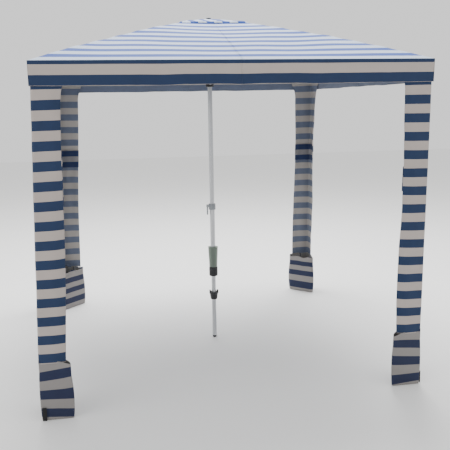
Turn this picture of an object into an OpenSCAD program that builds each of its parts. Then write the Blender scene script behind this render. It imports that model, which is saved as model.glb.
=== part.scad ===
// Beach shelter: a square pop-up canopy on a telescopic centre pole, with four
// fabric corner legs that end in open sand pockets. Origin on the ground under the pole.

/* [Overall] */
// Side of the square canopy at the eave
side_w = 1900; // [1800:10:2000]
// Height of the eave above the ground
eave_h = 1680; // [1640:5:1720]
// Depth of the valance that hangs from the eave
valance_h = 108; // [80:1:140]

/* [Roof] */
// Rise from the eave to the apex of the hips
roof_rise = 295; // [280:1:305]
// Share of the rise that comes from the bend of the ribs
bend_share = 0.27; // [0.2:0.01:0.32]
// How far each panel sags between two hips
panel_sag = 11; // [4:1:16]
// Half-width of the vent hole under the cap
vent_half = 136; // [130:1:145]
// Half-width of the vent cap
cap_half = 198; // [185:1:215]
// Thickness of the fabric solids
cloth_t = 3; // [2.5:0.1:3.5]

/* [Legs] */
// Width of each of the two panels of a corner leg
leg_w = 131; // [110:1:145]
// Height of a sand pocket
pocket_h = 308; // [260:1:340]
// Width of the two outer faces of a sand pocket
pocket_w = 166; // [150:1:172]
// Length of the webbing tail on each pocket
tail_l = 66; // [50:1:80]

/* [Pole] */
// Radius of the upper tube
upper_r = 13.5; // [12.5:0.1:14]
// Radius of the middle tube
middle_r = 15; // [14.8:0.1:16]
// Height of the top of the pole clamp
clamp_top = 870; // [840:1:880]
// Height of the bottom of the coupling collar
coupling_low = 409; // [390:1:430]
// Height of the bottom of the foot collar
foot_low = 256; // [230:1:280]

/* [Frame] */
// Radius of a rib
rib_r = 4.75; // [4:0.05:5]
// Radius of a stretcher rod
stretcher_r = 4; // [3.5:0.05:4.2]
// Distance from the pole's axis to the rib pivots
pivot_r = 32; // [31:0.5:34]
// Distance from the pole's axis to the stretcher brackets
bracket_r = 470; // [440:5:500]
// Height of the stretcher pivots on the runner
runner_z = 1640; // [1620:1:1650]

/* [Fits] */
// Radial clearance of a pin in its hole
pin_gap = 0.05; // [0.02:0.01:0.1]
// Radial clearance of a tube that slides in another
slide_gap = 0.08; // [0.05:0.01:0.1]
// Gap between a bracket and its rib
bracket_gap = 0.6; // [0.5:0.05:0.8]
// Gap between fabric pieces of different bodies
cloth_gap = 0.4; // [0.3:0.05:0.6]

/* [Hidden] */
$fn = 48;

// Each corner's name and its direction from the pole
CORNERS = [["front_left", 225], ["front_right", 315], ["back_right", 45], ["back_left", 135]];
half = side_w / 2;
diagonal = half * sqrt(2);
valance_low = eave_h - valance_h;
// The legs hang just inside the valance
leg_face = half - cloth_t - cloth_gap;
// Width of a sand pocket's two narrow sides, and how far they lap past its face
pocket_side = 24;
pocket_lap = 6;
// Ribs
rib_drop = 15;
rib_end_r = diagonal - 20;
rib_steps = 6;
eye_r = 8;
eye_w = 8;
pin_r = 2.5;
slot_w = eye_w + 1.6;
tip_len = 30;
tip_r = 8;
tip_nose = 6.9;
leg_pivot_r = diagonal - 16;
// Hub
hub_r = 42;
hub_h = 18;
// Room between the hub and the top of the vent cap
cap_rise = 10;
// Stretchers
bracket_drop = 14;
runner_pivot_r = 36;
stretcher_eye_r = 6;
stretcher_eye_w = 6;
// Pole
wall = 1.4;
tube_gap = 0.2;
clamp_h = 36;
clamp_r = 21;
insert_l = 250;
// Height of the upper tube's end above the rib pivots
tube_top = 5;
lever_l = 54;
lever_w = 15;
lever_x = -29;
lever_pin_z = clamp_top - 13;

// Height of a hip at a share u of the way from the apex to the corner
function hip_z(u) = eave_h + roof_rise * (1 - (1 - bend_share) * u - bend_share * u * u);
// Height of a rib's centreline at distance r from the pole's axis
function rib_z(r) = hip_z(r / diagonal) - rib_drop;
rib_start_r = pivot_r + 6;
rib_line = [for (i = [0:rib_steps]) let (r = rib_start_r + (rib_end_r - rib_start_r) * i / rib_steps)
  [r, rib_z(r)]];
bracket_z = rib_z(bracket_r) - bracket_drop;
pivot_z = rib_z(pivot_r);
leg_pivot_z = rib_z(leg_pivot_r);

// Turns a corner's own frame, +X outward along the diagonal, to its place
module along(angle) { rotate([0, 0, angle]) children(); }
// Turns a corner's own frame, corner at +X +Y, to its place
module at_corner(angle) { rotate([0, 0, angle - 45]) children(); }
// A straight rod between two points of the XZ plane
module rod(a, b, r) {
  run = b[0] - a[0];
  rise = b[1] - a[1];
  translate([a[0], 0, a[1]]) rotate([0, atan2(run, rise), 0])
    cylinder(r = r, h = norm([run, rise]));
}
// A rod that bends through a list of points of the XZ plane
module bent_rod(line, r) {
  sides = 16;
  n = len(line) - 1;
  function way(i) = line[min(n, i + 1)] - line[max(0, i - 1)];
  function ring(i) = let (d = way(i) / norm(way(i))) [for (k = [0:sides - 1])
    let (t = 360 * k / sides)
    [line[i][0] - d[1] * r * cos(t), r * sin(t), line[i][1] + d[0] * r * cos(t)]];
  function id(i, k) = i * sides + k % sides;
  sides_of = [for (i = [0:n - 1]) for (k = [0:sides - 1]) each [
    [id(i, k), id(i, k + 1), id(i + 1, k)], [id(i, k + 1), id(i + 1, k + 1), id(i + 1, k)]]];
  polyhedron(points = [for (i = [0:n]) each ring(i)], convexity = 4,
    faces = concat(sides_of, [[for (k = [sides - 1:-1:0]) id(0, k)]],
      [[for (k = [0:sides - 1]) id(n, k)]]));
}
// A disc across the fold plane, centred on a point of the XZ plane
module cross_disc(p, r, w) {
  translate([p[0], 0, p[1]]) rotate([90, 0, 0]) cylinder(r = r, h = w, center = true);
}
module tube(r, inner, low, high) {
  translate([0, 0, low]) difference() {
    cylinder(r = r, h = high - low);
    translate([0, 0, -1]) cylinder(r = inner, h = high - low + 2);
  }
}

// One quadrant of a square pyramid of cloth between half-widths a0 and a1, whose height
// follows heights (a list, outermost last); start is where it begins beside the mid line
module cloth_quadrant(a, z, sag, start) {
  n = len(a) - 1;
  m = 8;
  function spot(i, k) = k <= m / 2 ? [a[i], max(start, a[i] * k * 2 / m)]
    : [max(start, a[i] * (m - k) * 2 / m), a[i]];
  function lowered(i, k) = let (s = abs(k * 2 / m - 1)) sag * s * s * sin(180 * i / n);
  top = [for (i = [0:n]) for (k = [0:m]) concat(spot(i, k), [z[i] - lowered(i, k)])];
  under = [for (p = top) p - [0, 0, cloth_t]];
  count = len(top);
  function id(i, k) = i * (m + 1) + k;
  faces = concat(
    [for (i = [0:n - 1]) for (k = [0:m - 1]) each [
      [id(i, k), id(i, k + 1), id(i + 1, k)], [id(i, k + 1), id(i + 1, k + 1), id(i + 1, k)]]],
    [for (i = [0:n - 1]) for (k = [0:m - 1]) each [
      [count + id(i + 1, k), count + id(i, k + 1), count + id(i, k)],
      [count + id(i + 1, k), count + id(i + 1, k + 1), count + id(i, k + 1)]]],
    [for (k = [0:m - 1]) each [
      [id(0, k), count + id(0, k), id(0, k + 1)],
      [id(0, k + 1), count + id(0, k), count + id(0, k + 1)]]],
    [for (k = [0:m - 1]) each [
      [id(n, k + 1), count + id(n, k), id(n, k)],
      [id(n, k + 1), count + id(n, k + 1), count + id(n, k)]]],
    [for (i = [0:n - 1]) each [
      [id(i + 1, 0), count + id(i, 0), id(i, 0)],
      [id(i + 1, 0), count + id(i + 1, 0), count + id(i, 0)]]],
    [for (i = [0:n - 1]) each [
      [id(i, m), count + id(i, m), id(i + 1, m)],
      [id(i + 1, m), count + id(i, m), count + id(i + 1, m)]]]);
  polyhedron(points = concat(top, under), faces = faces, convexity = 4);
}

// Two walls that meet at the corner, outer faces at distance face, from near to the corner
module corner_strip(face, near, low, high) {
  translate([face - cloth_t, near, low]) cube([cloth_t, face - near, high - low]);
  translate([near, face - cloth_t, low]) cube([face - near, cloth_t, high - low]);
}

// ---- Pole ----
module lower_tube() {
  color("#a8abae") tube(middle_r - wall - tube_gap, middle_r - 2 * wall - tube_gap, 14, 560);
}
module tip_plug() {
  tip = middle_r - wall - tube_gap;
  color("#4a4d50") {
    translate([0, 0, tip * 0.8]) intersection() {
      sphere(r = tip);
      translate([0, 0, -tip * 0.8]) cylinder(r = tip, h = tip * 0.8 + 14 - tip * 0.8);
    }
    translate([0, 0, 13.5]) cylinder(r = middle_r - 2 * wall - tube_gap - 0.01, h = 22);
  }
}
module foot_collar() {
  bore = middle_r - wall - tube_gap;
  color("#1c1c26") {
    translate([0, 0, foot_low]) rotate_extrude()
      polygon([[bore, 0], [20, 0], [22, 8], [26, 34], [29, 38], [29, 46], [bore, 46]]);
    for (x = [-1, 1]) translate([x * 24 - 4, -9, foot_low + 45]) cube([8, 18, 13]);
  }
}
module coupling_collar() {
  bore = middle_r - wall - tube_gap;
  color("#1c1c26") translate([0, 0, coupling_low]) difference() {
    rotate_extrude() polygon([[bore, 0], [24, 0], [27, 5], [27, 54], [25, 59], [bore, 59]]);
    translate([0, 0, 21]) cylinder(r = middle_r, h = 40);
    for (i = [0:11]) rotate([0, 0, 30 * i]) translate([28, 0, 8]) cylinder(r = 2.5, h = 43);
  }
}
module coupling_sleeve() {
  low = coupling_low + 59;
  color("#8c968c", 0.6) translate([0, 0, low]) rotate_extrude()
    polygon([[middle_r, 0], [25, 0], [31, 128], [28.5, 128], [22.6, 3], [middle_r, 3]]);
}
module middle_tube() {
  color("#b4b7ba") tube(middle_r, upper_r + slide_gap, coupling_low + 21, clamp_top - 26);
}

// ---- Clamp ----
module clamp_body() {
  color("#8f9498") difference() {
    union() {
      translate([0, 0, clamp_top - clamp_h]) cylinder(r = clamp_r, h = clamp_h);
      for (s = [-1, 1]) translate([lever_x - 6, s * (lever_w / 2 + 2.5) - 2, clamp_top - 20])
        cube([20, 4, 14]);
    }
    translate([0, 0, clamp_top - clamp_h - 1]) cylinder(r = upper_r + slide_gap, h = clamp_h + 2);
    translate([0, 0, clamp_top - clamp_h - 1]) cylinder(r = middle_r, h = clamp_h - 25);
    translate([lever_x, 0, lever_pin_z]) rotate([90, 0, 0])
      cylinder(r = pin_r, h = 60, center = true);
  }
}
module clamp_pin() {
  color("#c8cacc") translate([lever_x, 0, lever_pin_z]) rotate([90, 0, 0])
    cylinder(r = pin_r, h = lever_w + 11, center = true);
}
module clamp_lever() {
  color("#7e8388") difference() {
    union() {
      translate([lever_x, 0, lever_pin_z]) rotate([90, 0, 0])
        cylinder(r = 6, h = lever_w, center = true);
      translate([lever_x - 5, -lever_w / 2, lever_pin_z - lever_l]) cube([7, lever_w, lever_l]);
    }
    translate([lever_x, 0, lever_pin_z]) rotate([90, 0, 0])
      cylinder(r = pin_r + pin_gap, h = 60, center = true);
  }
}

// ---- Mast ----
module upper_tube() {
  color("#b4b7ba") tube(upper_r, upper_r - wall, clamp_top - 20 - insert_l, pivot_z + tube_top);
}
module top_hub() {
  color("#202024") difference() {
    translate([0, 0, pivot_z - hub_h / 2]) cylinder(r = hub_r, h = hub_h);
    translate([0, 0, pivot_z - hub_h]) cylinder(r = upper_r, h = hub_h + tube_top);
    for (c = CORNERS) along(c[1]) {
      translate([20, -slot_w / 2, pivot_z - hub_h]) cube([hub_r, slot_w, 2 * hub_h]);
      cross_pin_space();
    }
  }
}
module cross_pin_space() {
  cross_disc([pivot_r, pivot_z], pin_r, 26);
}
module hub_pins() {
  color("#c8cacc") for (c = CORNERS) along(c[1]) cross_disc([pivot_r, pivot_z], pin_r, 26);
}
module finial() {
  color("#202024") translate([0, 0, pivot_z + hub_h / 2]) {
    cylinder(r = 9, h = cap_rise + 0.2);
    translate([0, 0, cap_rise + 0.2]) cylinder(r = 15, h = 3);
  }
}
module vent_cap() {
  steps = 3;
  inner = 9.5;
  top = pivot_z + hub_h / 2 + cap_rise;
  drop = 38;
  a = [for (i = [0:steps]) inner + (cap_half - inner) * i / steps];
  z = [for (i = [0:steps]) top - drop * i / steps];
  color("#5a8fc4") for (c = CORNERS) at_corner(c[1]) cloth_quadrant(a, z, 1, -0.2);
}

// ---- Runner ----
module runner() {
  skirt = 24;
  catch_z = runner_z - 40;
  color("#202024") difference() {
    union() {
      translate([0, 0, runner_z - 60]) cylinder(r = skirt, h = 70);
      translate([0, 0, runner_z - 9]) cylinder(r = 41, h = 18);
    }
    translate([0, 0, runner_z - 61]) cylinder(r = upper_r + slide_gap, h = 90);
    for (c = CORNERS) along(c[1])
      translate([28, -stretcher_eye_w / 2 - 1, runner_z - 20]) cube([40, stretcher_eye_w + 2, 40]);
    translate([-5.4, -skirt - 1, catch_z - 8.4]) cube([10.8, 8, 16.8]);
  }
}
module runner_catch() {
  catch_z = runner_z - 40;
  color("#8f9498") translate([-5, -29, catch_z - 8]) cube([10, 8, 16]);
}

// ---- Ribs and stretchers ----
module rib(angle) {
  color("#2a2c30") along(angle) difference() {
    union() {
      cross_disc([pivot_r, pivot_z], eye_r, eye_w);
      bent_rod(rib_line, rib_r);
    }
    cross_disc([pivot_r, pivot_z], pin_r + pin_gap, eye_w + 2);
  }
}
module rib_tip(angle) {
  end = rib_line[rib_steps];
  last = end - rib_line[rib_steps - 1];
  color("#202024") along(angle)
    translate([end[0], 0, end[1]]) rotate([0, atan2(last[0], last[1]), 0]) difference() {
      translate([0, 0, -tip_len]) cylinder(r = tip_r, h = tip_len + tip_nose);
      translate([0, 0, -tip_len - 1]) cylinder(r = rib_r, h = tip_len + 1);
    }
}
module bracket(angle) {
  ear = 3;
  gap = stretcher_eye_w + 1;
  color("#8f9498") along(angle) difference() {
    union() {
      for (s = [-1, 1]) translate([bracket_r - 8, s * (gap / 2 + ear / 2) - ear / 2, bracket_z - 6])
        cube([16, ear, bracket_drop + 12]);
      translate([bracket_r - 8, -gap / 2 - ear, bracket_z + bracket_drop + rib_r])
        cube([16, gap + 2 * ear, ear]);
      cross_disc([bracket_r, bracket_z], pin_r, gap + 2 * ear + 3);
    }
    rod([bracket_r - 90, rib_z(bracket_r - 90)], [bracket_r + 90, rib_z(bracket_r + 90)],
      rib_r + bracket_gap);
  }
}
module stretcher(angle) {
  foot = [runner_pivot_r, runner_z];
  head = [bracket_r, bracket_z];
  way = (head - foot) / norm(head - foot);
  color("#2a2c30") along(angle) difference() {
    union() {
      cross_disc(foot, stretcher_eye_r, stretcher_eye_w);
      cross_disc(head, stretcher_eye_r, stretcher_eye_w);
      intersection() {
        rod(foot + 3 * way, head - 4 * way, stretcher_r);
        translate([0, -stretcher_eye_w / 2, 0]) cube([side_w, stretcher_eye_w, 2 * eave_h]);
      }
    }
    cross_disc(head, pin_r + pin_gap, stretcher_eye_w + 2);
  }
}

// ---- Fabric ----
module roof(angle) {
  steps = 7;
  a = [for (i = [0:steps]) vent_half + (half - vent_half) * i / steps];
  z = [for (v = a) hip_z(v / half)];
  color("#5a8fc4") at_corner(angle) cloth_quadrant(a, z, panel_sag, cloth_gap / 2);
}
module valance(angle) {
  color("#20365a") at_corner(angle)
    corner_strip(half, cloth_gap / 2, valance_low, eave_h - cloth_t - cloth_gap);
}
module leg(angle) {
  color("#a49c98") at_corner(angle)
    corner_strip(leg_face, leg_face - leg_w, pocket_h, eave_h - 28);
}
module pocket(angle) {
  function plan(w, s) = [[0, 0], [-w, 0], [-w + pocket_lap, -s], [-s, -w + pocket_lap],
    [0, -w]];
  color("#1a2a55") at_corner(angle) translate([leg_face, leg_face, 0]) difference() {
    linear_extrude(pocket_h) polygon(plan(pocket_w, pocket_side));
    translate([-cloth_t, -cloth_t, cloth_t]) linear_extrude(pocket_h)
      polygon(plan(pocket_w - 3.4 * cloth_t, pocket_side - cloth_t));
  }
}
module tie_band(angle) {
  low = 1037;
  tall = 124;
  inner = leg_face - cloth_t;
  color("#20365a") at_corner(angle)
    corner_strip(inner, leg_face - leg_w - 4, low, low + tall);
}
module cord_lock(angle) {
  r = 6;
  front = (pocket_w - pocket_lap + pocket_side) / sqrt(2);
  color("#202024") along(angle)
    translate([leg_face * sqrt(2) - front - r - 0.1, 0, pocket_h - 24]) {
      cylinder(r = r, h = 20);
      translate([0, 0, 20]) sphere(r = r);
    }
}
module web_tail(angle) {
  thick = 1.6;
  wide = 20;
  color("#101014") at_corner(angle)
    translate([leg_face - 12 - wide, leg_face + 0.02, 4]) cube([wide, thick, tail_l]);
}

lower_tube();
tip_plug();
foot_collar();
coupling_collar();
coupling_sleeve();
middle_tube();
clamp_body();
clamp_pin();
clamp_lever();
upper_tube();
top_hub();
hub_pins();
finial();
vent_cap();
runner();
runner_catch();
for (c = CORNERS) {
  rib(c[1]);
  rib_tip(c[1]);
  bracket(c[1]);
  stretcher(c[1]);
  roof(c[1]);
  valance(c[1]);
  leg(c[1]);
  pocket(c[1]);
  tie_band(c[1]);
  cord_lock(c[1]);
  web_tail(c[1]);
}
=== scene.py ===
"""Looks of a square beach shelter on a centre pole: striped cloth, aluminium pole, black plastic."""
import math

import bpy
import numpy as np
from mathutils import Matrix, Vector


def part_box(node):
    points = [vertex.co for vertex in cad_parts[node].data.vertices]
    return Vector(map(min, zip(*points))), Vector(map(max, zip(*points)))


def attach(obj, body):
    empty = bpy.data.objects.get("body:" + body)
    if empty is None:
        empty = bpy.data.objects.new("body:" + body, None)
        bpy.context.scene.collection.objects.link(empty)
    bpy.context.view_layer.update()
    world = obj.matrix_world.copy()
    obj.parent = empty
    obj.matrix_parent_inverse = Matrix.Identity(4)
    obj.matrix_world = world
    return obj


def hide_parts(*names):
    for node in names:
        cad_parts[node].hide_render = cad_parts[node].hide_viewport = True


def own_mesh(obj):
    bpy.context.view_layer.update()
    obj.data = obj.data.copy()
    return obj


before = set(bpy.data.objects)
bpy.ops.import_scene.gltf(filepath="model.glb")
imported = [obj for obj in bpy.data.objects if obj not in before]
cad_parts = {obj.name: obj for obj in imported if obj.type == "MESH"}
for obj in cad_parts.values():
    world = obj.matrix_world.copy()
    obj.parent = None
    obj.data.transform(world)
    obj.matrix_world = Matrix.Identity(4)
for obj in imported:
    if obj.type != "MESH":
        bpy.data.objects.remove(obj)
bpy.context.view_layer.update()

# ---- Roof ----
# Four panels of woven polyester, printed in wide stripes and sewn together along the hips, over
# four ribs. It is cut here into one quarter per rib, so that each quarter folds with its rib.
CORNERS = {"front_left": 225, "front_right": 315, "back_right": 45, "back_left": 135}
HALF = float(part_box("roof_back_right")[1].x)
EAVE = float(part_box("valance_back_right")[1].z) + 0.0034
VENT_HALF = 0.136
ROOF_RISE = 0.295
BEND = 0.27
SAG = 0.011
CLOTH = 0.0009
# One dark and one light stripe together
STRIPE = 0.09028
# How far above the eave, along the slope, the first dark stripe of the roof starts
ROOF_STRIPE_START = 0.047


def srgb(text):
    """A hex colour as linear RGBA: a straight part near black, a power of 2.4 above it."""
    parts = [int(text[i : i + 2], 16) / 255 for i in (1, 3, 5)]
    return [p / 12.92 if p <= 0.04045 else ((p + 0.055) / 1.055) ** 2.4 for p in parts] + [1]


def add(tree, kind, **inputs):
    """A shader node with its inputs set: a tuple (node, socket) is linked, anything else is a value."""
    node = tree.nodes.new(kind)
    for name, value in inputs.items():
        socket = node.inputs[int(name[1:])] if name[0] == "_" else node.inputs[name.replace("_", " ")]
        if isinstance(value, tuple) and isinstance(value[0], bpy.types.Node):
            tree.links.new(value[0].outputs[value[1]], socket)
        else:
            socket.default_value = value
    return node


def math_node(tree, operation, *values):
    """One step of arithmetic: a tuple (node, socket) is linked, anything else is a value."""
    node = tree.nodes.new("ShaderNodeMath")
    node.operation = operation
    for i, value in enumerate(values):
        if isinstance(value, tuple):
            tree.links.new(value[0].outputs[value[1]], node.inputs[i])
        else:
            node.inputs[i].default_value = value
    return node


def mixed(tree, factor, a, b):
    """A colour between a and b: a at factor 0, b at factor 1."""
    node = tree.nodes.new("ShaderNodeMix")
    node.data_type = "RGBA"
    for socket, value in ((node.inputs[0], factor), (node.inputs[6], a), (node.inputs[7], b)):
        if isinstance(value, tuple):
            tree.links.new(value[0].outputs[value[1]], socket)
        else:
            socket.default_value = value
    return node


def new_material(name):
    """An empty material, its node tree and its output node."""
    material = bpy.data.materials.new(name)
    material.use_nodes = True
    tree = material.node_tree
    tree.nodes.clear()
    return material, tree, tree.nodes.new("ShaderNodeOutputMaterial")


def striped_cloth(name, dark, light, share=0.5, through=0.2):
    """Woven polyester with printed stripes: matt, slightly uneven, and it lets some light through.

    Stripes follow UV's second axis, in metres; share is the dark part of a pair of stripes.
    """
    material, tree, out = new_material(name)
    uv = tree.nodes.new("ShaderNodeUVMap")
    uv.uv_map = "cloth"
    split = add(tree, "ShaderNodeSeparateXYZ", Vector=(uv, 0))
    wobble = add(tree, "ShaderNodeTexNoise", Vector=(uv, 0), Scale=6.0, Detail=2.0)
    shift = math_node(tree, "MULTIPLY_ADD", (wobble, 0), 0.003, -0.0015)
    across = math_node(tree, "ADD", (split, 1), (shift, 0))
    turns = math_node(tree, "DIVIDE", (across, 0), STRIPE)
    part = math_node(tree, "FLOORED_MODULO", (turns, 0), 1.0)
    centred = math_node(tree, "SUBTRACT", (part, 0), share / 2)
    away = math_node(tree, "ABSOLUTE", (centred, 0))
    edge = tree.nodes.new("ShaderNodeMapRange")
    soft_edge = 0.008
    edge.inputs[1].default_value = share / 2 - soft_edge
    edge.inputs[2].default_value = share / 2 + soft_edge
    tree.links.new(away.outputs[0], edge.inputs[0])
    wear = add(tree, "ShaderNodeTexNoise", Vector=(uv, 0), Scale=14.0, Detail=6.0, Roughness=0.6)
    ink = mixed(tree, (wear, 0), srgb(dark), [c * 1.35 for c in srgb(dark)[:3]] + [1])
    ground = mixed(tree, (wear, 0), [c * 0.9 for c in srgb(light)[:3]] + [1], srgb(light))
    colour = mixed(tree, (edge, 0), (ink, 2), (ground, 2))
    # The plain weave: two sets of fine threads 0.45 mm apart
    warp = add(tree, "ShaderNodeTexWave", Vector=(uv, 0), Scale=700.0, Distortion=0.4)
    weft = add(tree, "ShaderNodeTexWave", Vector=(uv, 0), Scale=700.0, Distortion=0.4)
    weft.bands_direction = "Y"
    weave = math_node(tree, "MULTIPLY", (warp, 1), (weft, 1))
    crease = add(tree, "ShaderNodeTexNoise", Vector=(uv, 0), Scale=22.0, Detail=5.0, Distortion=0.6)
    fine = add(tree, "ShaderNodeBump", Strength=0.25, Distance=0.0002, Height=(weave, 0))
    bump = add(tree, "ShaderNodeBump", Strength=0.35, Distance=0.004, Height=(crease, 0), Normal=(fine, 0))
    face = add(
        tree,
        "ShaderNodeBsdfPrincipled",
        Base_Color=(colour, 2),
        Roughness=0.78,
        IOR=1.5,
        Sheen_Weight=0.12,
        Sheen_Roughness=0.5,
        Normal=(bump, 0),
    )
    glow = add(tree, "ShaderNodeBsdfTranslucent", Color=(colour, 2), Normal=(bump, 0))
    both = add(tree, "ShaderNodeMixShader", _0=through, _1=(face, 0), _2=(glow, 0))
    tree.links.new(both.outputs[0], out.inputs[0])
    return material


# Painted sunlight: the roof's outer cloth is the valance's navy and off-white fabric painted brighter blue
# and blue-white, as the sunlit top of one fabric whose sides are in shade.
ROOF_SUNLIT_OUT = striped_cloth("roof_cloth", "#0f47a0", "#cddcf4", share=0.48, through=0.2)
ROOF_IN = striped_cloth("roof_lining", "#46618c", "#a8a6a4", share=0.4, through=0.25)


def ripple(a, b, seed, scale=1.0):
    """A smooth field of soft folds, about -1 to 1: the sum of seven sine waves, each its own way."""
    rng = np.random.default_rng(seed)
    total = np.zeros(np.broadcast(a, b).shape)
    for _ in range(7):
        angle, wave, phase = rng.uniform(0, math.tau), rng.uniform(9, 30) * scale, rng.uniform(0, math.tau)
        total += np.sin(wave * (a * math.cos(angle) + b * math.sin(angle)) + phase) / 3.5
    return total


def normals_of(points, closed):
    """Unit normals of a grid: the cross product of its steps along a row and down a column."""
    ahead = np.roll(points, -1, 1) - np.roll(points, 1, 1) if closed else np.gradient(points, axis=1)
    normal = np.cross(ahead, np.gradient(points, axis=0))
    return normal / np.maximum(np.linalg.norm(normal, axis=2, keepdims=True), 1e-9)


def area_of(points, closed):
    """Area of one side of a grid: half the cross product of two sides, for both halves of each cell."""
    grid = np.concatenate([points, points[:, :1]], 1) if closed else points
    a, b, c, d = grid[:-1, :-1], grid[:-1, 1:], grid[1:, 1:], grid[1:, :-1]
    halves = np.cross(b - a, c - a), np.cross(c - a, d - a)
    return float(sum(np.linalg.norm(h, axis=2).sum() for h in halves) / 2)


def cloth(name, points, uv, outer, inner, inside=(0, 0, 0.9), closed=False):
    """A thin closed mesh from a grid of points (rows, columns, 3) on the face that looks away from inside.

    The second face is the first moved inwards by the cloth's thickness, and a rim joins their edges.
    """
    normal = normals_of(points, closed)
    if ((points - np.array(inside)) * normal).sum() < 0:
        points, uv = points[:, ::-1], uv[:, ::-1]
        normal = normals_of(points, closed)
    both = np.concatenate([points.reshape(-1, 3), (points - normal * CLOTH).reshape(-1, 3)])
    count = points.shape[0] * points.shape[1]
    spot = np.arange(count).reshape(points.shape[:2])
    here, ahead = (spot, np.roll(spot, -1, 1)) if closed else (spot[:, :-1], spot[:, 1:])
    front = np.stack([here[:-1], ahead[:-1], ahead[1:], here[1:]], -1).reshape(-1, 4)

    def rim(a, b):
        return np.stack([b, a, a + count, b + count], -1)

    edges = [rim(here[0], ahead[0]), rim(here[-1], ahead[-1])[:, ::-1]]
    if not closed:
        edges += [rim(spot[1:, 0], spot[:-1, 0]), rim(spot[1:, -1], spot[:-1, -1])[:, ::-1]]
    faces = np.concatenate([front, front[:, ::-1] + count] + edges)
    side = np.zeros(len(faces), np.int32)
    side[len(front) : 2 * len(front)] = 1
    mesh = bpy.data.meshes.new(name)
    mesh.from_pydata(both.tolist(), [], faces.tolist())
    mesh.materials.append(outer)
    mesh.materials.append(inner)
    mesh.polygons.foreach_set("material_index", side)
    mesh.polygons.foreach_set("use_smooth", np.ones(len(faces), bool))
    layer = mesh.uv_layers.new(name="cloth")
    flat = np.tile(uv.reshape(-1, 2), (2, 1))
    loops = np.zeros(len(mesh.loops), np.int32)
    mesh.loops.foreach_get("vertex_index", loops)
    layer.data.foreach_set("uv", flat[loops].ravel())
    mesh.validate()
    piece = bpy.data.objects.new(name, mesh)
    bpy.context.scene.collection.objects.link(piece)
    piece["area"] = area_of(points, closed)
    return piece


def turned(points, angle):
    """Points given for a corner at +X +Y, turned about the pole to that corner's own place."""
    turn = math.radians(angle - 45)
    c, s = math.cos(turn), math.sin(turn)
    x, y = points[..., 0], points[..., 1]
    return np.stack([c * x - s * y, s * x + c * y, points[..., 2]], -1)


def hip_height(u):
    """Height of a hip at share u of the way from pole to eave: a straight fall with a little bend."""
    return EAVE + ROOF_RISE * (1 - (1 - BEND) * u - BEND * u * u)


def roof_quarter(corner, angle):
    """A quarter round its hip: a runs from vent to eave, t from one panel's middle to the next one's.

    Its height is the hip's, less a sag that is deepest midway and far from the hip, plus soft folds.
    """
    rows, columns = 110, 121
    a = np.linspace(VENT_HALF, HALF, rows)[:, None]
    t = np.linspace(0, 2, columns)[None, :]
    x = np.where(t <= 1, a + 0 * t, a * (2 - t))
    y = np.where(t <= 1, a * t, a + 0 * t)
    place = turned(np.stack([x, y, 0 * x], -1), angle)
    side = np.abs(t - 1)
    depth = np.sin(math.pi * (a - VENT_HALF) / (HALF - VENT_HALF))
    z = hip_height(a / HALF) - SAG * side**0.7 * depth
    # Cloth pulls slightly off the ribs, and soft folds run from the hips into the panels
    folds = ripple(place[..., 0], place[..., 1], 3) * 0.0022 * depth
    tug = np.sin(a * 60 + 3 * side) * 0.0016 * np.exp(-side * 5) * depth
    points = np.stack([place[..., 0], place[..., 1], z + folds + tug], -1)
    step = np.hypot(np.diff(a[:, 0]), np.diff(hip_height(a[:, 0] / HALF)))
    run = np.concatenate([[0], np.cumsum(step)])
    across = (run[-1] - run)[:, None] - ROOF_STRIPE_START + 0 * t
    along = a * (t - 1)
    piece = cloth("roof_cloth_" + corner, points, np.stack([along, across], -1), ROOF_SUNLIT_OUT, ROOF_IN)
    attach(piece, "arm_" + corner)
    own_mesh(piece)
    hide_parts("roof_" + corner)


for corner, angle in CORNERS.items():
    roof_quarter(corner, angle)

# ---- Vent cap ----
# A small square of the roof's cloth over the vent hole. It is stretched over the top hub and held
# there by a plastic button, and its edge hangs a little over the roof.
CAP_TOP = float(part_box("vent_cap")[1].z)
CAP_HALF = float(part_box("vent_cap")[1].x)
CAP_FALL = 0.038


def smooth(x, start, end):
    """A soft step from 0 at start to 1 at end: three squares less two cubes."""
    t = np.clip((x - start) / (end - start), 0, 1)
    return t * t * (3 - 2 * t)


def vent_cap():
    """A flat pyramid: it falls evenly from the middle, bulges between hips, and drops at the edge."""
    count = 91
    g = np.linspace(-1, 1, count)
    x, y = np.meshgrid(g, g)
    out = np.maximum(np.abs(x), np.abs(y))
    hip = np.abs(np.abs(x) - np.abs(y)) / np.maximum(out, 1e-6)
    fall = CAP_FALL * out + 0.004 * hip * np.sin(math.pi * out) + 0.010 * smooth(out, 0.94, 1)
    z = CAP_TOP - fall + ripple(x * 0.3, y * 0.3, 9, 2) * 0.002 * out
    points = np.stack([x * CAP_HALF, y * CAP_HALF, z], -1)
    uv = np.stack([y * CAP_HALF, x * CAP_HALF + 0.25 * y * CAP_HALF], -1)
    piece = cloth("vent_cap_cloth", points, uv, ROOF_SUNLIT_OUT, ROOF_IN)
    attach(piece, "mast")
    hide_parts("vent_cap")


vent_cap()

# ---- Valance ----
# A straight band of the same polyester, sewn to the eave all round and left free below; its cloth is
# painted darker than the roof's, as painted shade, since it hangs in shade under the sunlit roof. Each
# corner has two arms of it, a and b, which reach to the middle of their sides.
VALANCE_LOW = float(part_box("valance_back_right")[0].z)
# Painted shade: the valance and legs use the roof's fabric painted darker, navy and grey-beige, as the
# shaded sides of one fabric whose top is sunlit.
BODY_SHADED_OUT = striped_cloth("body_cloth", "#142b4c", "#bcb2ac")
BODY_IN = striped_cloth("body_lining", "#60697c", "#b0aba6")


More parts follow.
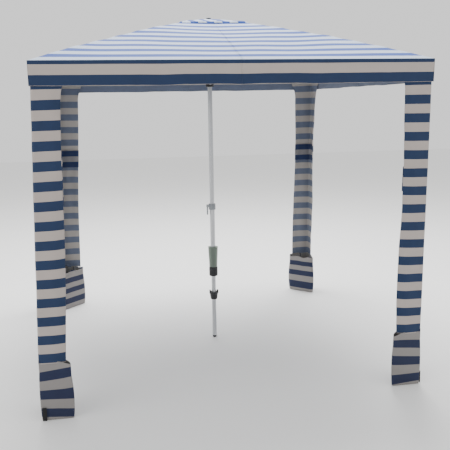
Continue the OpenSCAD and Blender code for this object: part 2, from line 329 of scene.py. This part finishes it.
def valance_arm(corner, angle, side):
    """A flat band along one side, drawn inwards by a wave that grows from the eave to the free edge."""
    rows, columns = 26, 150
    s = np.linspace(0, HALF, columns)[None, :] * np.ones((rows, 1))
    z = np.linspace(VALANCE_LOW, EAVE + 0.0006, rows)[:, None] + 0 * s
    hang = (EAVE - z) / (EAVE - VALANCE_LOW)
    spread = HALF - s
    x, y = (spread, HALF + 0 * s) if side == "a" else (HALF + 0 * s, spread)
    place = turned(np.stack([x, y, z], -1), angle)
    wave = ripple(place[..., 0] + place[..., 1], 0.4 * z, 11) * 0.0035 * hang
    inward = np.array([0, -1, 0]) if side == "a" else np.array([-1, 0, 0])
    pull = wave + 0.003 * hang * np.sin(s / HALF * math.pi / 2)
    corner_frame = np.stack([x, y, z], -1) + inward * np.abs(pull)[..., None]
    drop = 0.004 * hang * ripple(s, 0 * s, 5)
    corner_frame[..., 2] -= np.abs(drop) * np.clip(s / 0.1, 0, 1) * 0.5
    points = turned(corner_frame, angle)
    uv = np.stack([s, z - VALANCE_LOW - 0.001], -1)
    piece = cloth("valance_cloth_" + side + "_" + corner, points, uv, BODY_SHADED_OUT, BODY_IN)
    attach(piece, "corner_" + corner)
    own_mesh(piece)
    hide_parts("valance_" + corner)


for corner, angle in CORNERS.items():
    valance_arm(corner, angle, "a")
    valance_arm(corner, angle, "b")

# ---- Legs ----
# A narrow strip of the valance's cloth, folded round each corner and sewn on under the eave, where
# it flares. It hangs free down to the sand pocket, and the left ones splay outwards.
POCKET_H = float(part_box("pocket_back_right")[1].z)
LEG_FACE = float(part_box("leg_back_right")[1].x)
LEG_W = LEG_FACE - 0.003 - float(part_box("tie_band_back_right")[0].x) - 0.001
LEG_TOP = EAVE - 0.03
# Height at which a dark stripe of the legs and pockets starts
STRIPE_ZERO = 1.5565
# How far each foot is drawn sideways along X, as the cloth legs hang
FOOT_SHIFT = {"front_left": -0.058, "front_right": 0.004, "back_right": -0.02, "back_left": -0.058}


def around_corner(s, face, curl, width, radius=0.012):
    """Where a strip runs at distance s past the corner: along one face, round it, down the other."""
    x = face - np.maximum(-s, 0)
    y = face - np.maximum(s, 0)
    near = np.clip(1 - np.abs(s) / radius, 0, 1) ** 2 * radius * 0.35
    inward = curl * np.clip((np.abs(s) - width * 0.55) / (width * 0.45), 0, 1) ** 2
    x = x - near - np.where(s > 0, inward, 0)
    y = y - near - np.where(s < 0, inward, 0)
    return x, y


def splay(z):
    """Share of a foot's shift at height z: none at the valance, all of it at the sand pocket."""
    return np.clip((VALANCE_LOW - z) / (VALANCE_LOW - POCKET_H), 0, 1)


def leg_surface(corner, angle, seed, z, share, sunk=0.0):
    """Points of a leg at heights z and shares of its width from -1 to 1, sunk below its outer face."""
    flare = smooth(z, 1.49, LEG_TOP)
    width = LEG_W * (1 + 0.25 * flare**2) - 0.004 * np.sin(z * 5 + seed)
    s = width * share
    curl = 0.016 * (1 - flare) + 0.006 * np.sin(z * 7 + 2 * seed) * (1 - flare)
    face = LEG_FACE - 0.0015 - sunk - 0.006 * smooth(LEG_TOP - z, 0, LEG_TOP)
    x, y = around_corner(s, face, curl, width)
    bend = ripple(z, 0.3 * share, seed) * 0.0035 * (0.3 + np.abs(share)) * (1 - 0.6 * flare)
    x = x - np.where(share > 0, np.abs(bend), 0)
    y = y - np.where(share < 0, np.abs(bend), 0)
    points = turned(np.stack([x, y, z + 0 * s], -1), angle)
    points[..., 0] += FOOT_SHIFT[corner] * splay(z)
    return points, s


def leg(corner, angle, seed):
    """The leg's surface from just inside the sand pocket to the eave."""
    rows, columns = 190, 57
    z = np.linspace(POCKET_H - 0.02, LEG_TOP, rows)[:, None]
    share = np.linspace(-1, 1, columns)[None, :]
    points, s = leg_surface(corner, angle, seed, z, share)
    slant = 0.02 * np.abs(s) * np.sin(z * 3 + seed)
    uv = np.stack([s, z - STRIPE_ZERO + slant], -1)
    piece = cloth("leg_cloth_" + corner, points, uv, BODY_SHADED_OUT, BODY_IN)
    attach(piece, "corner_" + corner)
    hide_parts("leg_" + corner)


for seed, (corner, angle) in enumerate(CORNERS.items(), 1):
    leg(corner, angle, seed)

# ---- Tie bands ----
# A short band of the same cloth, sewn across the inside of each leg, that is tied round the folded
# shelter. It lies against the leg, so it follows the leg's own surface a little way in.
BAND_LOW = float(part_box("tie_band_back_right")[0].z)
BAND_HIGH = float(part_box("tie_band_back_right")[1].z)
# Painted shade: the band's cloth is the leg cloth painted darker and greyer, as the shade inside the leg
# where the band sits.
BAND_SHADED = striped_cloth("band_cloth", "#1a2b52", "#8c8a8c")


def tie_band(corner, angle, seed):
    """The leg's surface between the band's two heights, almost as wide, sunk behind the leg."""
    rows, columns = 22, 49
    z = np.linspace(BAND_LOW, BAND_HIGH, rows)[:, None] + np.zeros((1, columns))
    share = 0.985 * np.linspace(-1, 1, columns)[None, :] + 0 * z
    points, s = leg_surface(corner, angle, seed, z, share, sunk=0.0045)
    uv = np.stack([s, (z - BAND_LOW) * 1.13], -1)
    piece = cloth("tie_band_cloth_" + corner, points, uv, BAND_SHADED, BAND_SHADED)
    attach(piece, "corner_" + corner)
    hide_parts("tie_band_" + corner)


for seed, (corner, angle) in enumerate(CORNERS.items(), 1):
    tie_band(corner, angle, seed)

# ---- Sand pockets ----
# An open pouch of the same cloth, three-sided in plan, sewn to the foot of each leg. Sand weighs it
# down; empty, as here, it slumps and its front rim dips.
POCKET_W = LEG_FACE - float(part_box("pocket_back_right")[0].x)
# Painted shade: the pocket's cloth, outside and lining, is the leg cloth painted darker, as the shade low
# down at the feet and inside the pouch.
POCKET_SHADED_OUT = striped_cloth("pocket_cloth", "#0f1a3a", "#8a8684", through=0.1)
POCKET_SHADED_IN = striped_cloth("pocket_lining", "#565f72", "#8b8987", through=0.1)


def pouch_plan(turns):
    """Plan of the pouch in the corner's own frame, relative to the corner, once round."""
    w, lap, side = POCKET_W - 0.004, 0.006, 0.022
    plan = [(0, 0), (0, -w), (-side, -w + lap), (-w + lap, -side), (-w, 0), (0, 0)]
    lengths = [math.dist(a, b) for a, b in zip(plan, plan[1:])]
    stops = np.concatenate([[0], np.cumsum(lengths)]) / sum(lengths)
    return [np.interp(turns, stops, [p[i] for p in plan]) for i in (0, 1)]


def pocket(corner, angle, seed):
    """The plan carried up from the ground, scaled by a swell, folds and a crush, with a base below."""
    base, rows, columns = 14, 70, 160
    turns = (np.arange(columns) / columns)[None, :]
    px, py = pouch_plan(turns)
    soft = [(np.roll(p, 2) + np.roll(p, -2) + np.roll(p, 1) + np.roll(p, -1) + 2 * p) / 6 for p in (px, py)]
    centre = [p.mean() for p in soft]
    up = np.linspace(0, 1, rows)[:, None]
    swell = 0.93 + 0.07 * np.sin(np.clip(up * 1.25, 0, 1) * math.pi) ** 0.8
    fold = 0.018 * np.sin(turns * math.tau * 9 + seed) * np.clip(0.35 - up, 0, 1)
    crush = 0.035 * ripple(up * 0.35, turns * 0.5, seed + 20) * (0.3 + up * (1 - up))
    scale = np.minimum(swell + fold + crush * 0.6, 1.0)
    inner = np.linspace(0.02, 0.97, base)[:, None]
    grown = np.concatenate([inner * scale[0], scale])
    x, y = (c + (p - c) * grown for c, p in zip(centre, soft))
    front = np.clip(-(soft[0] + soft[1]) / (1.1 * POCKET_W), 0, 1)
    rim = POCKET_H - 0.03 * front + 0.006 * np.sin(turns * math.tau * 5 + seed) * front
    foot = 0.002 + 0.004 * (1 - inner) * (1 + np.sin(turns * math.tau * 6 + seed))
    z = np.concatenate([foot + 0 * turns, 0.003 + (rim - 0.003) * up**1.05])
    points = turned(np.stack([x + LEG_FACE - 0.004, y + LEG_FACE - 0.004, z], -1), angle)
    points[..., 0] += FOOT_SHIFT[corner]
    length = turns * 2.2 * POCKET_W * 1.3
    slant = 0.05 * front * np.sin(up * 4 + seed)
    across = np.concatenate([0 * inner - STRIPE_ZERO + 0 * turns, z[base:] - STRIPE_ZERO + slant * 0.35])
    uv = np.stack([np.concatenate([length + 0 * inner, length + 0 * up]), across], -1)
    middle = points.mean(axis=(0, 1))
    piece = cloth("pocket_cloth_" + corner, points, uv, POCKET_SHADED_OUT, POCKET_SHADED_IN, middle, closed=True)
    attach(piece, "corner_" + corner)
    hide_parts("pocket_" + corner)


for seed, (corner, angle) in enumerate(CORNERS.items(), 1):
    pocket(corner, angle, seed)


# ---- Pole, clamp and folding frame ----
# Drawn aluminium tubes that slide in one another, moulded collars, clamp, hub and runner, steel
# pins, and coated rods for ribs and stretchers. They keep their own shape and get their materials.
def plastic(name, colour, roughness=0.42):
    """Moulded plastic: a soft shine, uneven from handling, over a very fine moulded grain."""
    material, tree, out = new_material(name)
    place = tree.nodes.new("ShaderNodeTexCoord")
    noise = add(tree, "ShaderNodeTexNoise", Vector=(place, 3), Scale=900.0, Detail=3.0)
    smear = add(tree, "ShaderNodeTexNoise", Vector=(place, 3), Scale=40.0, Detail=4.0)
    rough = math_node(tree, "MULTIPLY_ADD", (smear, 0), 0.2, roughness - 0.1)
    bump = add(tree, "ShaderNodeBump", Strength=0.25, Distance=0.0004, Height=(noise, 0))
    skin = add(
        tree,
        "ShaderNodeBsdfPrincipled",
        Base_Color=srgb(colour),
        Roughness=(rough, 0),
        IOR=1.49,
        Normal=(bump, 0),
    )
    tree.links.new(skin.outputs[0], out.inputs[0])
    return material


def metal(name, colour, roughness):
    """Drawn metal: fine scratches that run along Z draw its highlights out."""
    material, tree, out = new_material(name)
    place = tree.nodes.new("ShaderNodeTexCoord")
    stretch = add(tree, "ShaderNodeMapping", Vector=(place, 3), Scale=(900, 900, 12))
    scratch = add(tree, "ShaderNodeTexNoise", Vector=(stretch, 0), Scale=1.0, Detail=4.0)
    rough = math_node(tree, "MULTIPLY_ADD", (scratch, 0), 0.22, roughness - 0.1)
    bump = add(tree, "ShaderNodeBump", Strength=0.12, Distance=0.0002, Height=(scratch, 0))
    skin = add(
        tree,
        "ShaderNodeBsdfPrincipled",
        Base_Color=srgb(colour),
        Metallic=1.0,
        Roughness=(rough, 0),
        Normal=(bump, 0),
    )
    tree.links.new(skin.outputs[0], out.inputs[0])
    return material


def clear_plastic(name, colour):
    """Clear moulded plastic, a little cloudy, that shows the tube inside it."""
    material, tree, out = new_material(name)
    skin = add(
        tree,
        "ShaderNodeBsdfPrincipled",
        Base_Color=srgb(colour),
        Roughness=0.3,
        IOR=1.46,
        Transmission_Weight=0.75,
    )
    tree.links.new(skin.outputs[0], out.inputs[0])
    return material


BLACK = plastic("black_plastic", "#17171c")
GREY = plastic("grey_plastic", "#84898e", 0.38)
ROD = plastic("coated_rod", "#26282c", 0.35)
TUBE = metal("aluminium_tube", "#b9bbbe", 0.34)
STEEL = metal("steel_pin", "#c4c6c8", 0.28)
SLEEVE = clear_plastic("clear_sleeve", "#9aa89c")
FINISH = {
    "lower_tube": TUBE,
    "middle_tube": TUBE,
    "upper_tube": TUBE,
    "tip_plug": BLACK,
    "foot_collar": BLACK,
    "coupling_collar": BLACK,
    "coupling_sleeve": SLEEVE,
    "clamp_body": GREY,
    "clamp_lever": GREY,
    "clamp_pin": STEEL,
    "top_hub": BLACK,
    "hub_pins": STEEL,
    "finial": BLACK,
    "runner": BLACK,
    "runner_catch": GREY,
}
for corner in CORNERS:
    FINISH.update({"rib_" + corner: ROD, "rib_tip_" + corner: BLACK})
    FINISH.update({"bracket_" + corner: GREY, "stretcher_" + corner: ROD})


def finish_nodes(finish):
    """Gives each named node its one material."""
    for name, material in finish.items():
        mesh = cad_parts[name].data
        mesh.materials.clear()
        mesh.materials.append(material)


finish_nodes(FINISH)


# ---- Cord locks and webbing tails ----
# A moulded cord lock on each pocket's rim and a short tail of woven nylon webbing at its foot. Both
# are sewn to the pocket, so they are drawn sideways with it.
def webbing(name, colour):
    """Woven nylon webbing: matt, with ribs across it."""
    material, tree, out = new_material(name)
    place = tree.nodes.new("ShaderNodeTexCoord")
    rib = add(tree, "ShaderNodeTexWave", Vector=(place, 3), Scale=300.0, Distortion=0.5)
    rib.bands_direction = "Z"
    bump = add(tree, "ShaderNodeBump", Strength=0.5, Distance=0.0006, Height=(rib, 1))
    skin = add(tree, "ShaderNodeBsdfPrincipled", Base_Color=srgb(colour), Roughness=0.8, Normal=(bump, 0))
    tree.links.new(skin.outputs[0], out.inputs[0])
    return material


STRAP = webbing("black_webbing", "#101014")


def follow_foot(node, corner):
    """A copy of a node, moved along X by its foot's shift."""
    piece = bpy.data.objects.new(node + "_piece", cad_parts[node].data.copy())
    piece.data.transform(Matrix.Translation((FOOT_SHIFT[corner], 0, 0)))
    bpy.context.scene.collection.objects.link(piece)
    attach(piece, "corner_" + corner)
    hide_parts(node)


for corner in CORNERS:
    finish_nodes({"cord_lock_" + corner: BLACK, "web_tail_" + corner: STRAP})
    follow_foot("cord_lock_" + corner, corner)
    follow_foot("web_tail_" + corner, corner)


# ---- Floor, light and camera ----
def floor():
    """A pale studio floor, one square far larger than the shelter."""
    mesh = bpy.data.meshes.new("floor")
    far = 14
    mesh.from_pydata([(-far, -far, 0), (far, -far, 0), (far, far, 0), (-far, far, 0)], [], [(0, 1, 2, 3)])
    piece = bpy.data.objects.new("floor", mesh)
    bpy.context.scene.collection.objects.link(piece)
    material, tree, out = new_material("pale_floor")
    skin = add(tree, "ShaderNodeBsdfPrincipled", Base_Color=srgb("#f6f6f5"), Roughness=0.9)
    tree.links.new(skin.outputs[0], out.inputs[0])
    mesh.materials.append(material)


def lamp(name, place, aim, size, power):
    """A square lamp at place that shines towards aim."""
    light = bpy.data.lights.new(name, "AREA")
    light.size = size
    light.energy = power
    piece = bpy.data.objects.new(name, light)
    piece.location = place
    piece.rotation_euler = (Vector(aim) - Vector(place)).to_track_quat("-Z", "Y").to_euler()
    bpy.context.scene.collection.objects.link(piece)


def camera():
    """Chest height and view of a person who stands in front of the shelter, a little to the left."""
    stand = (-0.632, -3.924, 1.492)
    yaw, pitch, roll = math.radians(10.273), math.radians(-10.807), math.radians(-0.943)
    ahead = Vector((math.sin(yaw) * math.cos(pitch), math.cos(yaw) * math.cos(pitch), math.sin(pitch)))
    level = Vector((math.cos(yaw), -math.sin(yaw), 0))
    upright = level.cross(ahead)
    right = level * math.cos(roll) + upright * math.sin(roll)
    up = upright * math.cos(roll) - level * math.sin(roll)
    data = bpy.data.cameras.new("camera")
    data.lens = 51.7
    data.sensor_width = 36
    piece = bpy.data.objects.new("camera", data)
    piece.matrix_world = Matrix.Translation(stand) @ Matrix((right, up, -ahead)).transposed().to_4x4()
    bpy.context.scene.collection.objects.link(piece)
    bpy.context.scene.camera = piece


def sky():
    """Even white light from all round."""
    world = bpy.data.worlds.new("white_studio")
    world.use_nodes = True
    back = world.node_tree.nodes["Background"]
    back.inputs[0].default_value = (1, 1, 1, 1)
    back.inputs[1].default_value = 1.1
    bpy.context.scene.world = world


floor()
lamp("key_above", (0.4, 1.8, 5.2), (0, 0, 1.7), 3.5, 520)
lamp("fill_left", (-4.5, -2.5, 2.6), (0, 0, 1), 3.0, 40)
sky()
camera()
